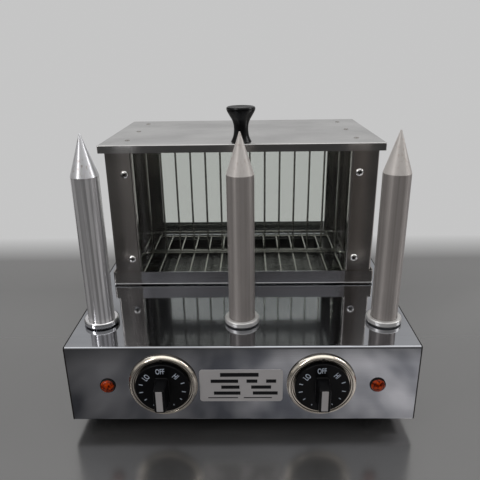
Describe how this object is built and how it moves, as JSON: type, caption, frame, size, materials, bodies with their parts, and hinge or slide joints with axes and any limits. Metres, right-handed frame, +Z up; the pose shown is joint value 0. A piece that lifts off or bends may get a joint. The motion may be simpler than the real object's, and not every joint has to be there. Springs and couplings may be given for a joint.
{
  "type": "hot dog and bun warmer",
  "caption": "Countertop hot dog and bun warmer: stainless base with heated bun spikes, glazed warming case with wire basket, water pan and hinged lid, two heat controls",
  "frame": {"origin": "middle of the footprint, on the surface that the feet stand on", "axes": "+Z up; the front panel faces -Y; +X to the right seen from the front"},
  "size_m": [0.33, 0.367, 0.294],
  "materials": {
    "stainless_steel": "polished stainless sheet with fine hairline grain and soft reflections",
    "case_stainless": "stainless sheet, warm grey with vertical reflections",
    "turned_aluminium": "turned bar, dull grey with fine turning marks and a rougher stained tip",
    "polished_collar": "polished turned ring",
    "bezel_nickel": "bright nickel plating, slightly warm",
    "black_plastic": "black phenolic, satin",
    "pointer_grey": "grey pointer insert",
    "amber_lens": "amber translucent lens, unlit",
    "clear_glass": "clear toughened glass with a faint green tint",
    "basket_wire": "bright steel wire",
    "foot_rubber": "black rubber",
    "regulator_bakelite": "brown moulded body",
    "element_sheath": "dark heat-stained sheath",
    "terminal_ceramic": "unglazed white ceramic",
    "zinc_plate": "zinc-plated steel"
  },
  "bodies": {
    "root": {"base_wrapper": "stainless_steel", "base_side_left": "stainless_steel", "base_side_right": "stainless_steel", "water_pan": "stainless_steel", "hinge_leaf_case": "stainless_steel", "hinge_pin": "stainless_steel", "base_bottom_plate": "zinc_plate", "spike_nut_left": "zinc_plate", "spike_nut_centre": "zinc_plate", "spike_nut_right": "zinc_plate", "foot_front_left": "foot_rubber", "foot_front_right": "foot_rubber", "foot_rear_left": "foot_rubber", "foot_rear_right": "foot_rubber", "bun_spike_left": "turned_aluminium", "bun_spike_centre": "turned_aluminium", "bun_spike_right": "turned_aluminium", "spike_collar_left": "polished_collar", "spike_collar_centre": "polished_collar", "spike_collar_right": "polished_collar", "heating_element": "element_sheath", "spike_heater_left": "element_sheath", "spike_heater_centre": "element_sheath", "spike_heater_right": "element_sheath", "knob_bezel_left": "bezel_nickel", "knob_bezel_right": "bezel_nickel", "case_screw_lower_left": "bezel_nickel", "case_screw_lower_right": "bezel_nickel", "case_screw_upper_left": "bezel_nickel", "case_screw_upper_right": "bezel_nickel", "cord_gland": "black_plastic", "energy_regulator_left": "regulator_bakelite", "energy_regulator_right": "regulator_bakelite", "indicator_lamp_left": "amber_lens", "indicator_lamp_right": "amber_lens", "terminal_block": "terminal_ceramic", "case_side_left": "case_stainless", "case_side_right": "case_stainless", "case_foot_band_left": "case_stainless", "case_foot_band_right": "case_stainless", "front_rail": "case_stainless", "rear_rail": "case_stainless", "front_top_rail": "case_stainless", "rear_top_rail": "case_stainless", "front_glass": "clear_glass", "rear_glass": "clear_glass"},
    "lid": {"lid": "stainless_steel", "lid_knob": "black_plastic", "lid_knob_screw": "zinc_plate", "lid_stiffener_left": "stainless_steel", "lid_stiffener_right": "stainless_steel", "hinge_leaf_lid": "stainless_steel"},
    "basket": {"basket_floor": "basket_wire", "basket_divider": "basket_wire"},
    "left_knob": {"control_knob_left": "black_plastic", "knob_pointer_left": "pointer_grey", "regulator_shaft_left": "zinc_plate"},
    "right_knob": {"control_knob_right": "black_plastic", "knob_pointer_right": "pointer_grey", "regulator_shaft_right": "zinc_plate"}
  },
  "joints": [
    {"name": "lid_hinge", "type": "hinge", "parent": "root", "child": "lid", "pos_m": [0, 0.16305, 0.2528], "axis": [-1, 0, 0], "range_deg": [0, 100]},
    {"name": "basket_lift", "type": "slide", "parent": "root", "child": "basket", "axis": [0, 0, 1], "range_m": [0, 0.125]},
    {"name": "left_control", "type": "hinge", "parent": "root", "child": "left_knob", "pos_m": [-0.074, -0.1585, 0.056], "axis": [0, 1, 0], "continuous": true},
    {"name": "right_control", "type": "hinge", "parent": "root", "child": "right_knob", "pos_m": [0.074, -0.1585, 0.056], "axis": [0, 1, 0], "continuous": true}
  ],
  "couplings": [
    {"joint": "basket_lift", "follows": "lid_hinge", "m_per_rad": 0.07}
  ]
}
